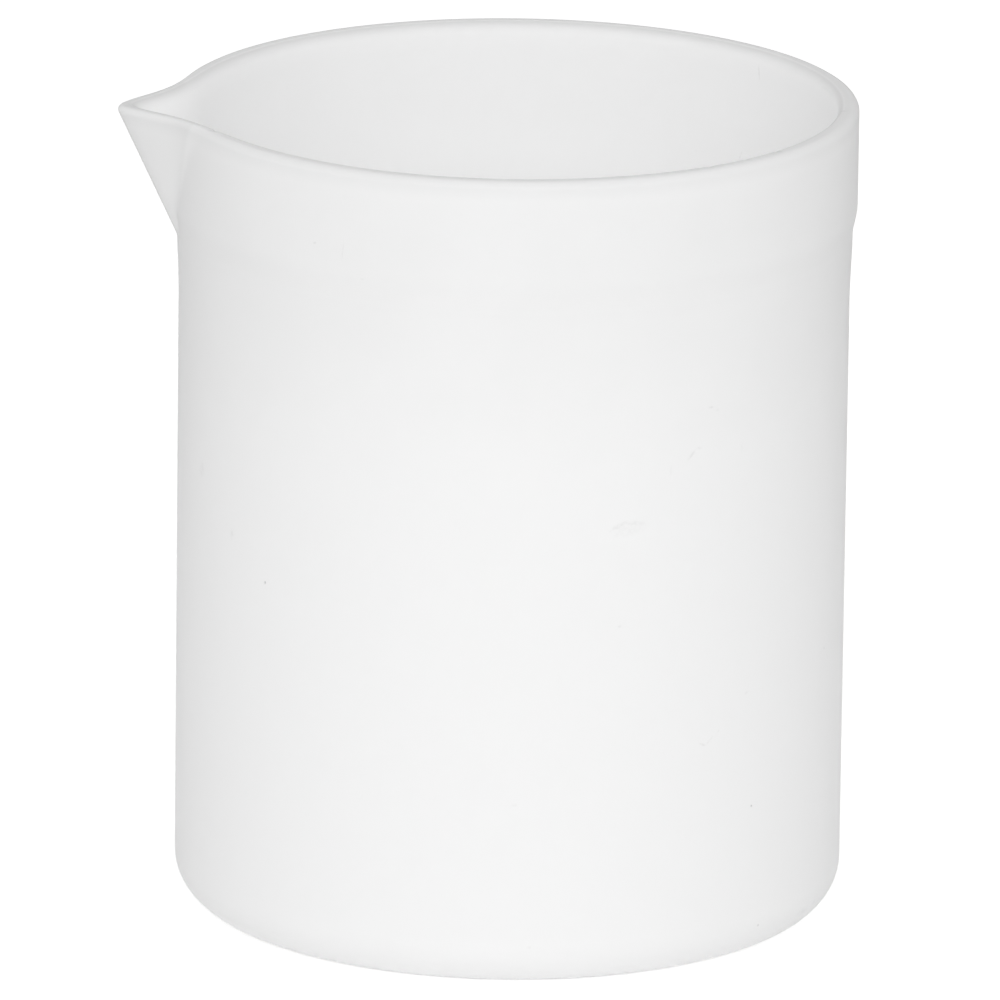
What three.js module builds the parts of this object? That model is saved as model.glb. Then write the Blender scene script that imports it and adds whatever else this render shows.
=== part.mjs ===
// A low-form laboratory beaker of milky white plastic, made in one piece.
// Millimetres, +Z up along the beaker's axis, the origin at the middle of the underside.
// The pouring spout points along -X.

import * as THREE from 'three';

// Driving dimensions of the cup
const BODY_DIAMETER = 90;
const HEIGHT = 111;
const WALL = 2.0;
const FLOOR = 3.0;
const BASE_CORNER = 6.4;

// The thicker band round the mouth and the slope that runs it out into the wall below
const BAND_PROUD = 0.86;
const BAND_HEIGHT = 13.6;
const BAND_RUNOUT = 4.4;
const RIM_OUTER_ROUND = 1.1;
const RIM_INNER_ROUND = 0.6;

// The pouring spout: two flat flanks that meet in a rounded keel under the tip, and the flare of the inside beside it
const SPOUT_REACH = 8.0;
const SPOUT_DROP = 19.0;
const SPOUT_HALF_ANGLE = THREE.MathUtils.degToRad(46);
const SPOUT_NOSE = 2.0;
const SPOUT_OUTER_BLEND = 1.0;
const SPOUT_INNER_BLEND = 5.0;
const SPOUT_FLARE = 1.0;
const SPOUT_DIRECTION = Math.PI;

// Fineness of the facets
const STEPS_ROUND = 96;
const STEPS_CURVE = 3;
const STEPS_WALL = 3;
const SPOUT_CROWDING = 0.72;

const bodyRadius = BODY_DIAMETER / 2;
const bandRadius = bodyRadius + BAND_PROUD;
const innerRadius = bodyRadius - WALL;
const rimWall = bandRadius - innerRadius;
const floorCorner = BASE_CORNER - WALL;
const bandFoot = HEIGHT - BAND_HEIGHT;
const spoutRoot = HEIGHT - SPOUT_DROP;
const tipRadius = bandRadius + SPOUT_REACH;
const spoutSpan = Math.PI / 2 - SPOUT_HALF_ANGLE;

// A straight stretch of wall, drawn in even steps so that the spout can bend it
function drawWall(path, radius, from, to) {
  for (let step = 1; step <= STEPS_WALL; step += 1) {
    path.lineTo(radius, THREE.MathUtils.lerp(from, to, step / STEPS_WALL));
  }
}

// The outside, from the middle of the underside up to the start of the rim's outer round
function outerProfile() {
  const outside = new THREE.Path();
  const runoutFoot = bandFoot - BAND_RUNOUT;
  const runoutMiddle = (runoutFoot + bandFoot) / 2;
  outside.moveTo(0, 0);
  outside.lineTo(bodyRadius - BASE_CORNER, 0);
  outside.absarc(bodyRadius - BASE_CORNER, BASE_CORNER, BASE_CORNER, -Math.PI / 2, 0);
  outside.lineTo(bodyRadius, Math.min(spoutRoot, runoutFoot));
  outside.lineTo(bodyRadius, runoutFoot);
  outside.bezierCurveTo(bodyRadius, runoutMiddle, bandRadius, runoutMiddle, bandRadius, bandFoot);
  drawWall(outside, bandRadius, bandFoot, HEIGHT - RIM_OUTER_ROUND);
  return outside.getPoints(STEPS_CURVE);
}

// Over the rim: a full outer round, a narrow flat land and a smaller inner round
function rimProfile() {
  const rim = new THREE.Path();
  const outerCentre = bandRadius - RIM_OUTER_ROUND;
  const innerCentre = innerRadius + RIM_INNER_ROUND;
  rim.absarc(outerCentre, HEIGHT - RIM_OUTER_ROUND, RIM_OUTER_ROUND, 0, Math.PI / 2);
  rim.absarc(innerCentre, HEIGHT - RIM_INNER_ROUND, RIM_INNER_ROUND, Math.PI / 2, Math.PI);
  return rim.getPoints(STEPS_CURVE);
}

// The inside, from the rim down the wall and round the corner to the middle of the floor
function innerProfile() {
  const inside = new THREE.Path();
  const cornerHeight = FLOOR + floorCorner;
  const wallTop = HEIGHT - RIM_INNER_ROUND;
  inside.moveTo(innerRadius, wallTop);
  drawWall(inside, innerRadius, wallTop, spoutRoot);
  inside.lineTo(innerRadius, cornerHeight);
  inside.absarc(innerRadius - floorCorner, cornerHeight, floorCorner, 0, -Math.PI / 2, true);
  inside.lineTo(0, FLOOR);
  return inside.getPoints(STEPS_CURVE);
}

// Each row of the profile also says how deep in the wall it lies: 0 on the outside, rimWall on the inside
function profileRows() {
  const outside = outerProfile().map((p) => ({ radius: p.x, height: p.y, depth: 0 }));
  const rim = rimProfile().map((p) => ({ radius: p.x, height: p.y, depth: bandRadius - p.x }));
  const inside = innerProfile().map((p) => ({ radius: p.x, height: p.y, depth: rimWall }));
  return [...outside, ...rim.slice(1), ...inside.slice(1)];
}

// The larger of two radii, with a fillet as wide as the blend where they cross
function filletedMax(a, b, blend) {
  const overlap = Math.max(blend - Math.abs(a - b), 0) / blend;
  return Math.max(a, b) + overlap * overlap * blend / 4;
}

// Radius of a row at an angle from the spout: the round wall, or the spout's flank where that reaches further.
// Seen from above each flank is a straight line, set back from the axis as the keel slopes down to the wall.
// On the inside the round wall also flares out a little on its way to the flanks.
function radiusAt(row, angle) {
  const rise = (row.height - spoutRoot) / SPOUT_DROP;
  if (rise < 0 || Math.abs(angle) > spoutSpan) return row.radius;
  const inward = row.depth / rimWall;
  const flare = SPOUT_FLARE * inward * rise ** 2 * Math.cos(angle / spoutSpan * Math.PI / 2) ** 2;
  const keel = THREE.MathUtils.lerp(bodyRadius, tipRadius, rise) - row.depth;
  const noseAngle = SPOUT_NOSE / tipRadius;
  const fromKeel = Math.hypot(angle, noseAngle) - noseAngle;
  const flank = keel * Math.sin(SPOUT_HALF_ANGLE) / Math.sin(SPOUT_HALF_ANGLE + fromKeel);
  const blend = THREE.MathUtils.lerp(SPOUT_OUTER_BLEND, SPOUT_INNER_BLEND, inward);
  return filletedMax(row.radius + flare, flank, blend);
}

// The profile is revolved, then its columns are crowded towards the spout and drawn out to the spout's shape
function beakerGeometry() {
  const rows = profileRows();
  const profile = rows.map((row) => new THREE.Vector2(row.radius, row.height));
  const geometry = new THREE.LatheGeometry(profile, STEPS_ROUND);
  const position = geometry.getAttribute('position');
  for (let i = 0; i < position.count; i += 1) {
    const row = rows[i % rows.length];
    const turn = 2 * Math.PI * Math.floor(i / rows.length) / STEPS_ROUND - Math.PI;
    const angle = turn - SPOUT_CROWDING * Math.sin(turn);
    const radius = radiusAt(row, angle);
    const bearing = SPOUT_DIRECTION + angle;
    position.setXYZ(i, radius * Math.cos(bearing), radius * Math.sin(bearing), row.height);
  }
  geometry.computeVertexNormals();
  return geometry;
}

const milkyPlastic = new THREE.MeshStandardMaterial({
  color: 0xf0f0ee,
  roughness: 0.5,
  metalness: 0,
});

const beaker = new THREE.Mesh(beakerGeometry(), milkyPlastic);
beaker.name = 'beaker';

const group = new THREE.Group();
group.add(beaker);

export default group;
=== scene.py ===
import math
import bpy
from mathutils import Matrix, Vector, noise


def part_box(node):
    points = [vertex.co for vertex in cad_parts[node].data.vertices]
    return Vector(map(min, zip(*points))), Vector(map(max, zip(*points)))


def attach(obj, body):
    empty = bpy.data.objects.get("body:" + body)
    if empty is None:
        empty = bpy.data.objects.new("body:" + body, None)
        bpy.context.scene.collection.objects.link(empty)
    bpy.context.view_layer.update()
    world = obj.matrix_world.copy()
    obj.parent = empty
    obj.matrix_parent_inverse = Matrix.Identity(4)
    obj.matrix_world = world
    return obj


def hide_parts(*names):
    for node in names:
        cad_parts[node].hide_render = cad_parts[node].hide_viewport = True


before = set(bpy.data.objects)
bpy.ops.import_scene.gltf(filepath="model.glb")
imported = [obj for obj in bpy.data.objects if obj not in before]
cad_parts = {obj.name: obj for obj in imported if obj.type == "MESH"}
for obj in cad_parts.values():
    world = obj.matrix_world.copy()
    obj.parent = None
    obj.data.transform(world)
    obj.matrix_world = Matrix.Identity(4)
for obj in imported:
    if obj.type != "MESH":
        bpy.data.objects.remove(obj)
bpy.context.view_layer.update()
bpy.ops.object.select_all(action="DESELECT")

# Camera
# A long lens about two metres away looks down into the mouth by some fifteen degrees.
# It stands a little to the spout's side, and is rolled a hair, as the photograph was taken.
camera_turn = math.radians(-6.8)
camera_reach = 2.0315
camera_height = 0.6183
camera_pitch = 0.27039
camera_yaw = 0.00076
camera_roll = 0.0125
camera_lens = 563.74
camera_sensor = 36.0

camera_place = Matrix.Rotation(camera_turn, 3, "Z") @ Vector((0, -camera_reach, camera_height))
camera_aim = (
    Matrix.Rotation(camera_turn + camera_yaw, 3, "Z")
    @ Matrix.Rotation(math.pi / 2 - camera_pitch, 3, "X")
    @ Matrix.Rotation(camera_roll, 3, "Z")
)
bpy.ops.object.camera_add(location=camera_place, rotation=camera_aim.to_euler())
camera = bpy.context.object
camera.name = "camera"
camera.data.sensor_width = camera_sensor
camera.data.lens = camera_lens
camera.data.clip_end = 100
bpy.context.scene.camera = camera

# Beaker
# One seamless moulding of milky white plastic: floor, straight wall, a thicker band round the mouth, a spout.
# Its wall is drawn as one line, from the middle of the underside over the rim to the middle of the floor.
# The line is spun round the axis, and the spout is then drawn out of the band, as from the warm wall.
mm = 0.001
hair = 0.01 * mm
beaker_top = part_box("beaker")[1]
rim_height = beaker_top[2]
band_radius = beaker_top[0]
body_radius = band_radius - 0.86 * mm
inner_radius = body_radius - 2.0 * mm
rim_wall = band_radius - inner_radius
floor_thickness = 3.0 * mm
base_corner = 6.4 * mm
floor_corner = base_corner - (body_radius - inner_radius)
band_foot = rim_height - 13.6 * mm
runout_foot = band_foot - 4.2 * mm
tail_foot = runout_foot - 9.0 * mm
tail_swell = 0.26 * mm
rim_outer_round = 1.1 * mm
rim_inner_round = 1.0 * mm
rim_steps = 8
columns = 640


def stretch(line, end, steps):
    """Goes straight from the line's last point to the end."""
    start = line[-1]
    for step in range(1, steps + 1):
        part = step / steps
        line.append((start[0] + part * (end[0] - start[0]), start[1] + part * (end[1] - start[1])))


def bend(line, centre, radius, start, end, steps):
    """Goes round an arc, whose start is the line's last point."""
    for step in range(1, steps + 1):
        turn = math.radians(start + (end - start) * step / steps)
        line.append((centre[0] + radius * math.cos(turn), centre[1] + radius * math.sin(turn)))


def run_out(line, end, steps):
    """Goes up to the end in a soft S, as the band grows out of the wall."""
    start = line[-1]
    for step in range(1, steps + 1):
        part = step / steps
        swell = part * part * (3 - 2 * part)
        line.append((start[0] + swell * (end[0] - start[0]), start[1] + part * (end[1] - start[1])))


base_centre = (body_radius - base_corner, base_corner)
outer_round_centre = (band_radius - rim_outer_round, rim_height - rim_outer_round)
inner_round_centre = (inner_radius + rim_inner_round, rim_height - rim_inner_round)
floor_centre = (inner_radius - floor_corner, floor_thickness + floor_corner)
wall_line = [(0, 0)]
stretch(wall_line, (base_centre[0], 0), 6)
bend(wall_line, base_centre, base_corner, -90, 0, 14)
stretch(wall_line, (body_radius, tail_foot), 12)
run_out(wall_line, (body_radius + tail_swell, runout_foot), 8)
run_out(wall_line, (band_radius, band_foot), 12)
stretch(wall_line, (band_radius, outer_round_centre[1]), 18)
bend(wall_line, outer_round_centre, rim_outer_round, 0, 90, rim_steps)
stretch(wall_line, (inner_round_centre[0], rim_height), 6)
bend(wall_line, inner_round_centre, rim_inner_round, 90, 180, rim_steps)
stretch(wall_line, (inner_radius, band_foot), 18)
stretch(wall_line, (inner_radius, floor_centre[1]), 12)
bend(wall_line, floor_centre, floor_corner, 0, -90, 10)
stretch(wall_line, (0, floor_thickness), 6)

bpy.ops.mesh.primitive_plane_add(size=mm)
beaker = bpy.context.object
beaker.name = "beaker_moulding"
bpy.ops.object.mode_set(mode="EDIT")
bpy.ops.mesh.merge(type="CENTER")
for here, there in zip(wall_line, wall_line[1:]):
    move = (there[0] - here[0], 0, there[1] - here[1])
    bpy.ops.mesh.extrude_vertices_move(TRANSFORM_OT_translate={"value": move})
bpy.ops.mesh.select_all(action="SELECT")
bpy.ops.mesh.spin(steps=columns, angle=2 * math.pi, center=(0, 0, 0), axis=(0, 0, 1))
bpy.ops.mesh.select_all(action="SELECT")
bpy.ops.mesh.remove_doubles(threshold=hair)
bpy.ops.mesh.normals_make_consistent(inside=False)
bpy.ops.object.mode_set(mode="OBJECT")

# Spout
# Two flat flanks meet in a rounded keel that slopes from the tip down to the wall. The same form, one wall
# further in, is the channel. Outside the flanks turn sharply into the band, inside they flare out softly.
spout_reach = 8.0 * mm
spout_drop = 19.0 * mm
spout_half_angle = math.radians(46)
spout_nose = 2.0 * mm
spout_root_blend = 0.3 * mm
spout_rim_blend = 3.2 * mm
spout_inner_blend = 5.0 * mm
spout_flare = 1.0 * mm
spout_crowding = 0.72
spout_span = math.pi / 2 - spout_half_angle
spout_root = rim_height - spout_drop
spout_tip = band_radius + spout_reach
wall_middle = (body_radius + inner_radius) / 2


def wall_depth(radius, level):
    """How deep a point lies in the wall: nothing on the outside, the rim's whole wall on the inside."""
    if level > rim_height - rim_outer_round:
        return band_radius - radius
    return 0 if radius > wall_middle else rim_wall


def flank_radius(radius, level, angle):
    """The radius of the spout's flank over a point of the wall, at an angle from the spout's middle."""
    rise = (level - spout_root) / spout_drop
    if rise < 0 or abs(angle) > spout_span:
        return 0
    keel = body_radius + rise * (spout_tip - body_radius) - wall_depth(radius, level)
    nose_angle = spout_nose / spout_tip
    from_keel = math.hypot(angle, nose_angle) - nose_angle
    return keel * math.sin(spout_half_angle) / math.sin(spout_half_angle + from_keel)


def drawn_radius(radius, level, angle):
    """The radius of a point of the wall once the spout is drawn out of it."""
    flank = flank_radius(radius, level, angle)
    if flank == 0:
        return radius
    rise = (level - spout_root) / spout_drop
    inward = wall_depth(radius, level) / rim_wall
    flare = math.cos(angle / spout_span * math.pi / 2) ** 2
    wall = radius + spout_flare * inward * rise ** 2 * flare
    outer_blend = spout_root_blend + (spout_rim_blend - spout_root_blend) * rise ** 2
    blend = outer_blend + (spout_inner_blend - outer_blend) * inward
    overlap = max(blend - abs(wall - flank), 0) / blend
    return max(wall, flank) + overlap * overlap * blend / 4


# Each vertex is moved to the spout's form, and the rim's inner edge is made a little uneven. On the way each
# gets its marks, which the plastic reads: a mark along that edge that darkens it, a mask of the outside,
# painted shade on the spout's flanks, and painted shade on the lip just inside the mouth.
edge_turn = math.radians(90 / rim_steps)
edge_radius = inner_radius + rim_inner_round * (1 - math.sin(edge_turn))
edge_height = rim_height - rim_inner_round * (1 - math.cos(edge_turn))
edge_waviness = 0.05 * mm
edge_wave_length = 5.0 * mm
edge_mark_width = 0.45 * mm
flank_shade_reach = 0.8 * mm
lip_shade_top = 0.12 * mm
lip_shade_reach = 1.4 * mm
mark_names = ("edge_mark", "outer_side", "flank_shade", "lip_shade")
for name in mark_names:
    beaker.data.attributes.new(name, "FLOAT", "POINT")
mark_layers = [beaker.data.attributes[name].data for name in mark_names]
edge_vertices = []
for vertex, edge_mark, outer_side, flank_shade, lip_shade in zip(beaker.data.vertices, *mark_layers):
    radius = math.hypot(vertex.co.x, vertex.co.y)
    below_rim = rim_height - vertex.co.z
    from_edge = math.hypot(radius - edge_radius, vertex.co.z - edge_height)
    if from_edge < hair / 2:
        edge_vertices.append(vertex)
    turn = math.atan2(-vertex.co.y, -vertex.co.x)
    angle = turn - spout_crowding * math.sin(turn)
    flank_lead = flank_radius(radius, vertex.co.z, angle) - radius
    drawn = drawn_radius(radius, vertex.co.z, angle)
    inside = radius < inner_radius + rim_inner_round and vertex.co.z > floor_thickness - hair
    # A mark along the rim's inner edge, which darkens it
    edge_mark.value = max(1 - from_edge / edge_mark_width, 0)
    # A mask of the outside: one outside, fading to nothing over the inner round
    outer_side.value = max(radius - inner_radius, 0) / rim_inner_round if inside else 1
    # Painted shade on the spout's outside flanks, fading where a flank meets the wall
    flank_shade.value = outer_side.value * min(max(1 + flank_lead / flank_shade_reach, 0), 1)
    # Painted shade on the lip just inside the mouth
    lip_shade.value = min(below_rim / lip_shade_top, 1) * max(1 - below_rim / lip_shade_reach, 0) if inside else 0
    vertex.co.x = -drawn * math.cos(angle)
    vertex.co.y = -drawn * math.sin(angle)
    wave = edge_waviness * edge_mark.value * noise.noise(vertex.co / edge_wave_length)
    vertex.co.x -= wave * math.cos(angle)
    vertex.co.y -= wave * math.sin(angle)
beaker.data.update()

# Knocks on the rim
# The plastic is soft, so stirring rods and tongs have left small dents along the inner edge of the mouth.
# Each is a finer patch of the edge, pressed down and into the wall, and its mark darkens it, most in the
# middle of a deep one.
# They are listed by bearing in degrees from the front towards +X, width and depth.
rim_knocks = (
    (28.5, 1.0 * mm, 0.12 * mm),
    (37.0, 0.7 * mm, 0.10 * mm),
    (45.5, 0.8 * mm, 0.35 * mm),
    (77.0, 0.9 * mm, 0.12 * mm),
    (-70.5, 1.0 * mm, 0.15 * mm),
)
knock_patch = 1.3
knock_full_mark = 0.03 * mm
edge_points = [vertex.co.copy() for vertex in edge_vertices]


def edge_at(bearing):
    """The point of the rim's inner edge that is nearest to a bearing."""
    return min(edge_points, key=lambda point: abs(math.degrees(math.atan2(point.x, -point.y)) - bearing))


knocks = [(edge_at(bearing), width, depth) for bearing, width, depth in rim_knocks]
bpy.ops.object.mode_set(mode="EDIT")
bpy.ops.mesh.select_mode(type="FACE")
bpy.ops.mesh.select_all(action="DESELECT")
bpy.ops.object.mode_set(mode="OBJECT")
for face in beaker.data.polygons:
    face.select = any((face.center - spot).length < knock_patch * width for spot, width, depth in knocks)
bpy.ops.object.mode_set(mode="EDIT")
bpy.ops.mesh.subdivide(number_cuts=2)
bpy.ops.object.mode_set(mode="OBJECT")
edge_mark_layer = beaker.data.attributes["edge_mark"].data
for spot, width, depth in knocks:
    press = (Vector((spot.x, spot.y, 0)).normalized() - Vector((0, 0, 1))).normalized()
    for vertex, edge_mark in zip(beaker.data.vertices, edge_mark_layer):
        near = 1 - (vertex.co - spot).length / width
        if near > 0:
            vertex.co += depth * near * near * (3 - 2 * near) * press
            # The knock's mark darkens it, most in the middle of a deep one
            edge_mark.value = max(edge_mark.value, near * depth / knock_full_mark)
beaker.data.update()
bpy.ops.object.shade_smooth()

# Milky plastic
# The beaker's one material: a waxy white plastic that lets light sink in a few millimetres and glow back out.
# A grey coat on its outside darkens it at grazing angles, more towards the rim: painted shade on its edges.
# Use has also left specks, ticks and smudges on the wall.
plastic_depth = 1.8 * mm
grazing_shade_tint = 0.957
grazing_shade_foot = 0.4
grazing_shade_low = 0.465
plastic = bpy.data.materials.new("milky_plastic")
plastic.use_nodes = True
tree = plastic.node_tree
shader = tree.nodes["Principled BSDF"]
shader.inputs["Subsurface Weight"].default_value = 1
shader.inputs["Subsurface Radius"].default_value = (1, 1, 1)
shader.inputs["Subsurface Scale"].default_value = plastic_depth
shader.inputs["IOR"].default_value = 1.36
shader.inputs["Specular IOR Level"].default_value = 0.2
shader.inputs["Coat IOR"].default_value = 1.02
shader.inputs["Coat Roughness"].default_value = 0.5
# The coat's grey tint darkens grazing angles: painted shade on the edges
shader.inputs["Coat Tint"].default_value = (grazing_shade_tint, grazing_shade_tint, grazing_shade_tint, 1)


def calculate(tree, operation, *values):
    """A math node on numbers and on the outputs of other nodes."""
    node = tree.nodes.new("ShaderNodeMath")
    node.operation = operation
    for socket, value in zip(node.inputs, values):
        if isinstance(value, bpy.types.NodeSocket):
            tree.links.new(value, socket)
        else:
            socket.default_value = value
    return node.outputs["Value"]


def ramp(tree, value, start, end, low, high):
    """A soft step from low to high, as the value goes from start to end."""
    node = tree.nodes.new("ShaderNodeMapRange")
    node.interpolation_type = "SMOOTHSTEP"
    tree.links.new(value, node.inputs["Value"])
    node.inputs["From Min"].default_value = start
    node.inputs["From Max"].default_value = end
    node.inputs["To Min"].default_value = low
    node.inputs["To Max"].default_value = high
    return node.outputs["Result"]


def clouds(tree, point, size, detail):
    """Soft noise, whose patches are about as large as the size."""
    node = tree.nodes.new("ShaderNodeTexNoise")
    tree.links.new(point, node.inputs["Vector"])
    node.inputs["Scale"].default_value = 1 / size
    node.inputs["Detail"].default_value = detail
    return node.outputs["Fac"]


def vertex_mark(tree, name):
    """One of the marks that the vertices carry."""
    node = tree.nodes.new("ShaderNodeAttribute")
    node.attribute_name = name
    return node.outputs["Fac"]


point = tree.nodes.new("ShaderNodeTexCoord").outputs["Object"]
point_parts = tree.nodes.new("ShaderNodeSeparateXYZ")
tree.links.new(point, point_parts.inputs["Vector"])
across = point_parts.outputs["X"]
along = point_parts.outputs["Y"]
height = point_parts.outputs["Z"]

# The wall rolled out flat: the way round it from the front, the height, and the distance from the axis
way_round = calculate(tree, "ARCTAN2", across, calculate(tree, "MULTIPLY", along, -1))
across_squared = calculate(tree, "MULTIPLY", across, across)
from_axis = calculate(tree, "SQRT", calculate(tree, "MULTIPLY_ADD", along, along, across_squared))
rolled_out_parts = tree.nodes.new("ShaderNodeCombineXYZ")
tree.links.new(calculate(tree, "MULTIPLY", way_round, body_radius), rolled_out_parts.inputs["X"])
tree.links.new(height, rolled_out_parts.inputs["Y"])
tree.links.new(from_axis, rolled_out_parts.inputs["Z"])
rolled_out = rolled_out_parts.outputs["Vector"]


def scuff(wall_radius, bearing, level, length, width, tilt, darkening):
    """A soft stroke on the rolled-out wall, as strong as the darkening in its middle."""
    stroke = tree.nodes.new("ShaderNodeMapping")
    stroke.vector_type = "TEXTURE"
    tree.links.new(rolled_out, stroke.inputs["Vector"])
    stroke.inputs["Location"].default_value = (math.radians(bearing) * body_radius, level * mm, wall_radius)
    stroke.inputs["Rotation"].default_value = (0, 0, math.radians(tilt))
    stroke.inputs["Scale"].default_value = (length * mm, width * mm, 2 * (body_radius - inner_radius))
    reach = tree.nodes.new("ShaderNodeVectorMath")
    reach.operation = "LENGTH"
    tree.links.new(stroke.outputs["Vector"], reach.inputs[0])
    return ramp(tree, reach.outputs["Value"], 0.1, 0.5, darkening, 0)


# Each scuff's bearing from the front in degrees, height, length and width in millimetres, tilt and darkening
outer_scuffs = (
    (11.4, 63.6, 3.8, 1.0, 28, 0.08),
    (14.2, 63.9, 4.8, 1.0, -6, 0.07),
    (13.0, 63.2, 7.8, 3.1, 8, 0.035),
    (25.0, 72.3, 2.6, 0.55, 48, 0.075),
    (26.6, 73.1, 1.0, 0.5, -10, 0.075),
    (28.8, 78.4, 1.1, 0.5, 0, 0.075),
    (30.1, 77.9, 0.8, 0.55, 0, 0.04),
    (28.1, 32.1, 1.6, 0.5, -25, 0.09),
    (29.6, 32.5, 2.0, 0.5, 45, 0.075),
    (31.4, 33.5, 1.1, 0.4, 42, 0.06),
    (-53.2, 52.0, 0.7, 0.5, 60, 0.4),
    (-62.4, 57.1, 2.2, 1.2, 90, 0.06),
    (-73.5, 63.9, 2.9, 2.2, 80, 0.055),
    (62.5, 39.6, 0.7, 0.7, 0, 0.11),
    (37.8, 38.0, 1.0, 0.55, 30, 0.07),
    (39.4, 22.0, 0.5, 0.45, 0, 0.3),
    (41.9, 4.9, 0.5, 0.45, 0, 0.25),
    (56.5, 3.9, 5.0, 2.0, -3, 0.07),
    (60.8, 4.3, 1.8, 1.2, 0, 0.06),
    (-41.8, 100.4, 0.8, 0.5, 20, 0.13),
    (-36.3, 100.0, 4.3, 0.3, 84, 0.07),
    (-32.6, 96.5, 1.0, 0.4, 0, 0.055),
    (12.0, 49.9, 0.8, 0.55, 15, 0.07),
    (-5.7, 25.8, 1.2, 0.65, 0, 0.045),
    (21.0, 70.5, 1.9, 0.5, 90, 0.035),
    (35.7, 72.0, 1.7, 0.6, 90, 0.035),
    (-2.9, 6.1, 1.0, 0.6, 0, 0.045),
    (112.0, 71.0, 4.1, 0.6, 25, 0.07),
    (148.0, 38.0, 6.0, 1.4, -15, 0.06),
    (170.0, 84.0, 1.9, 0.5, 60, 0.07),
    (-151.0, 58.0, 2.9, 0.55, 35, 0.075),
    (-118.0, 27.0, 0.6, 0.5, 0, 0.25),
    (-133.0, 92.0, 3.4, 0.4, 80, 0.07),
)
inner_scuffs = (
    (123.5, 108.0, 2.9, 0.6, 82, 0.11),
    (128.0, 95.8, 2.0, 0.4, -62, 0.09),
    (138.5, 95.1, 0.8, 0.6, 0, 0.05),
    (-20.0, 70.0, 4.4, 0.6, 70, 0.07),
    (60.0, 88.0, 3.3, 0.5, 95, 0.07),
)
edge_mark_darkening = 0.02
ragged = ramp(tree, clouds(tree, point, 0.5 * mm, 2), 0.38, 0.58, 0.35, 1)
# The edge's mark and the scuffs darken the tone
darkening = calculate(tree, "MULTIPLY", vertex_mark(tree, "edge_mark"), edge_mark_darkening)
for wall_radius, scuffs in ((body_radius, outer_scuffs), (inner_radius, inner_scuffs)):
    for marks in scuffs:
        darkening = calculate(tree, "MAXIMUM", darkening, scuff(wall_radius, *marks))
undarkened_share = calculate(tree, "SUBTRACT", 1, calculate(tree, "MULTIPLY", darkening, ragged))

# The tone is even inside. Outside it is white at the foot and greyer up the wall, painted shade, then a
# little whiter again in the hollow under the band and on the band, painted light. It is greyed further by
# faint clouds in the plastic, by painted shade on the rim's top, on the spout's flanks and on the lip, and by
# scuffs and the edge's mark.
plastic_white = 0.994
upper_shade_grey = 0.902
hollow_light = 0.018
hollow_height = band_foot - 2.4 * mm
band_light_share = 0.6
inside_grey = 0.966
cloud_grey = 0.988
rim_top_shade_grey = 0.94
flank_shade_grey = 0.94
lip_shade_grey = 0.815
outside = vertex_mark(tree, "outer_side")
# Painted shade: the outside is white at the foot and greyer up the wall
wall_shade_step = ramp(tree, height, 18 * mm, hollow_height, plastic_white - inside_grey, upper_shade_grey - inside_grey)
# Painted light: whiter in the hollow under the band, and partly on the band
hollow_light_step = ramp(tree, height, hollow_height - 2.5 * mm, hollow_height, 0, hollow_light)
hollow_light_share = ramp(tree, height, hollow_height, band_foot, 1, band_light_share)
outside_step = calculate(tree, "MULTIPLY_ADD", hollow_light_step, hollow_light_share, wall_shade_step)
tone = calculate(tree, "MULTIPLY_ADD", outside_step, outside, inside_grey)
greys = (
    ramp(tree, clouds(tree, point, 14 * mm, 3), 0.3, 0.7, cloud_grey, 1),
    # Painted shade: the rim's top greyer
    ramp(tree, height, rim_height - 3.0 * mm, rim_height - 0.4 * mm, 1, rim_top_shade_grey),
    # Painted shade on the spout's flanks
    ramp(tree, vertex_mark(tree, "flank_shade"), 0, 1, 1, flank_shade_grey),
    # Painted shade on the lip just inside the mouth
    ramp(tree, vertex_mark(tree, "lip_shade"), 0, 1, 1, lip_shade_grey),
    undarkened_share,
)
for grey in greys:
    tone = calculate(tree, "MULTIPLY", tone, grey)
tree.links.new(tone, shader.inputs["Base Color"])

# The grey coat, painted shade at grazing angles, is on the outside alone. It is full at the rim and thinner
# down the wall, most of all at the foot.
grazing_shade = calculate(tree, "MULTIPLY", outside, ramp(tree, height, 0, base_corner, grazing_shade_foot, 1))
grazing_shade = calculate(tree, "MULTIPLY", grazing_shade, ramp(tree, height, 20 * mm, rim_height, grazing_shade_low, 1))
tree.links.new(grazing_shade, shader.inputs["Coat Weight"])

# A dull gloss that varies in patches, and a fine grain
gloss = ramp(tree, clouds(tree, point, 6 * mm, 3), 0.3, 0.7, 0.46, 0.58)
tree.links.new(gloss, shader.inputs["Roughness"])
grain = tree.nodes.new("ShaderNodeBump")
grain.inputs["Strength"].default_value = 0.2
grain.inputs["Distance"].default_value = 0.02 * mm
tree.links.new(clouds(tree, point, 0.6 * mm, 3), grain.inputs["Height"])
tree.links.new(grain.outputs["Normal"], shader.inputs["Normal"])

beaker.data.materials.append(plastic)
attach(beaker, "root")
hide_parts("beaker")

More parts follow.
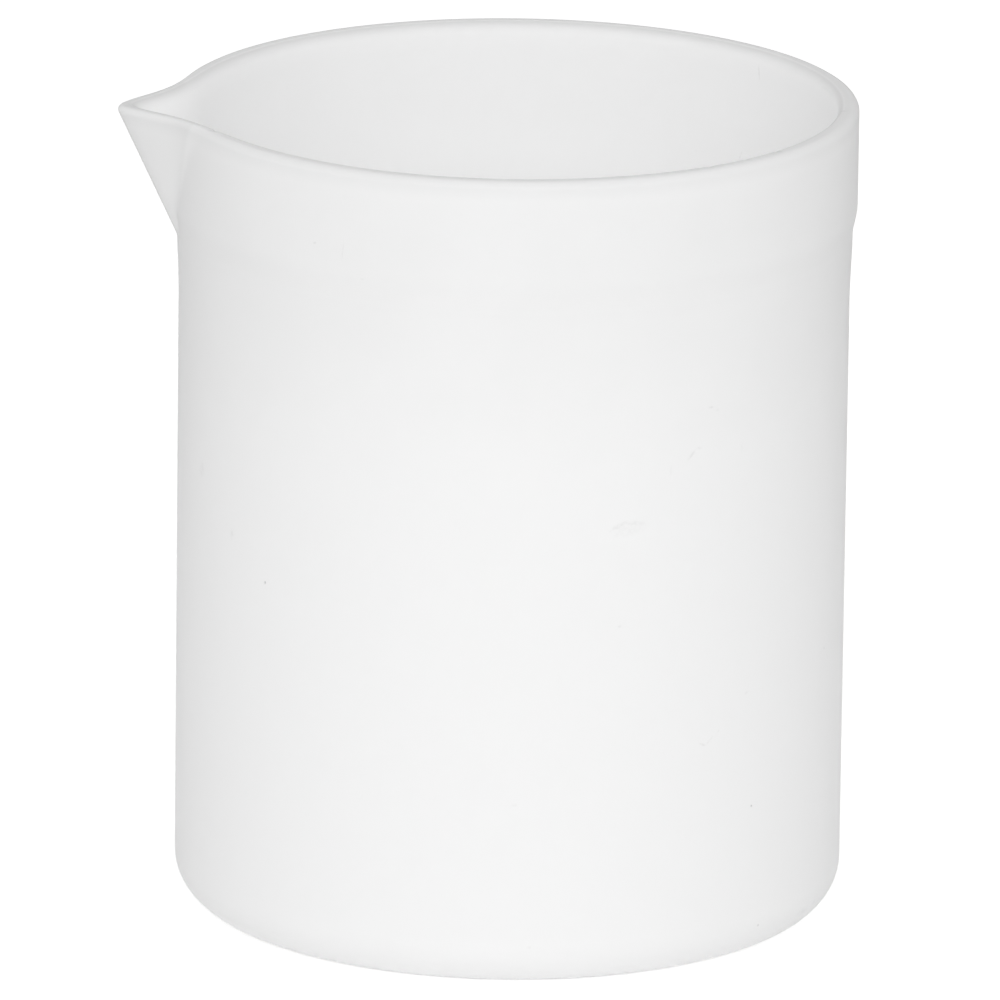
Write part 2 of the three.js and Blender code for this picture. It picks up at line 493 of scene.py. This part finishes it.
# Floor
# A wide sheet of plain white board that the beaker stands on. To the camera and in reflections it is lifted
# to white, and it keeps the beaker's shadow.
board_size = 30
board_white = 0.95
board_lift = 0.35
bpy.ops.object.select_all(action="DESELECT")
bpy.ops.mesh.primitive_plane_add(size=board_size)
board = bpy.context.object
board.name = "floor"
board_paint = bpy.data.materials.new("floor_white")
board_paint.use_nodes = True
board_tree = board_paint.node_tree
board_tree.nodes.clear()
matt = board_tree.nodes.new("ShaderNodeBsdfDiffuse")
matt.inputs["Color"].default_value = (board_white, board_white, board_white, 1)
path = board_tree.nodes.new("ShaderNodeLightPath")
seen = calculate(board_tree, "MAXIMUM", path.outputs["Is Camera Ray"], path.outputs["Is Glossy Ray"])
seen = calculate(board_tree, "MAXIMUM", seen, path.outputs["Is Transmission Ray"])
lift = board_tree.nodes.new("ShaderNodeEmission")
board_tree.links.new(calculate(board_tree, "MULTIPLY", seen, board_lift), lift.inputs["Strength"])
both = board_tree.nodes.new("ShaderNodeAddShader")
board_tree.links.new(matt.outputs["BSDF"], both.inputs[0])
board_tree.links.new(lift.outputs["Emission"], both.inputs[1])
board_output = board_tree.nodes.new("ShaderNodeOutputMaterial")
board_tree.links.new(both.outputs["Shader"], board_output.inputs["Surface"])
board.data.materials.append(board_paint)

# Light
# Plain studio light: an even grey room, and one broad soft lamp in front, above the camera.
# Light goes to and fro inside the white cup many times before it comes out, so more bounces are followed.
room_light = 0.695
lamp_rise = math.radians(28)
lamp_reach = 2.4
lamp_side = 1.4
lamp_power = 16.7
room = bpy.data.worlds.new("room")
bpy.context.scene.world = room
room.use_nodes = True
room_paint = room.node_tree.nodes["Background"]
room_paint.inputs["Color"].default_value = (1, 1, 1, 1)
room_paint.inputs["Strength"].default_value = room_light

lamp_front = Vector((0, -math.cos(lamp_rise), math.sin(lamp_rise)))
lamp_away = Matrix.Rotation(camera_turn, 3, "Z") @ lamp_front
lamp_place = Vector((0, 0, rim_height / 2)) + lamp_reach * lamp_away
lamp_aim = lamp_away.to_track_quat("Z", "Y").to_euler()
bpy.ops.object.light_add(type="AREA", location=lamp_place, rotation=lamp_aim)
lamp = bpy.context.object
lamp.name = "front_lamp"
lamp.data.shape = "SQUARE"
lamp.data.size = lamp_side
lamp.data.energy = lamp_power
bpy.context.scene.cycles.diffuse_bounces = 20
bpy.context.scene.cycles.max_bounces = 28
bpy.context.scene.view_settings.view_transform = "Standard"
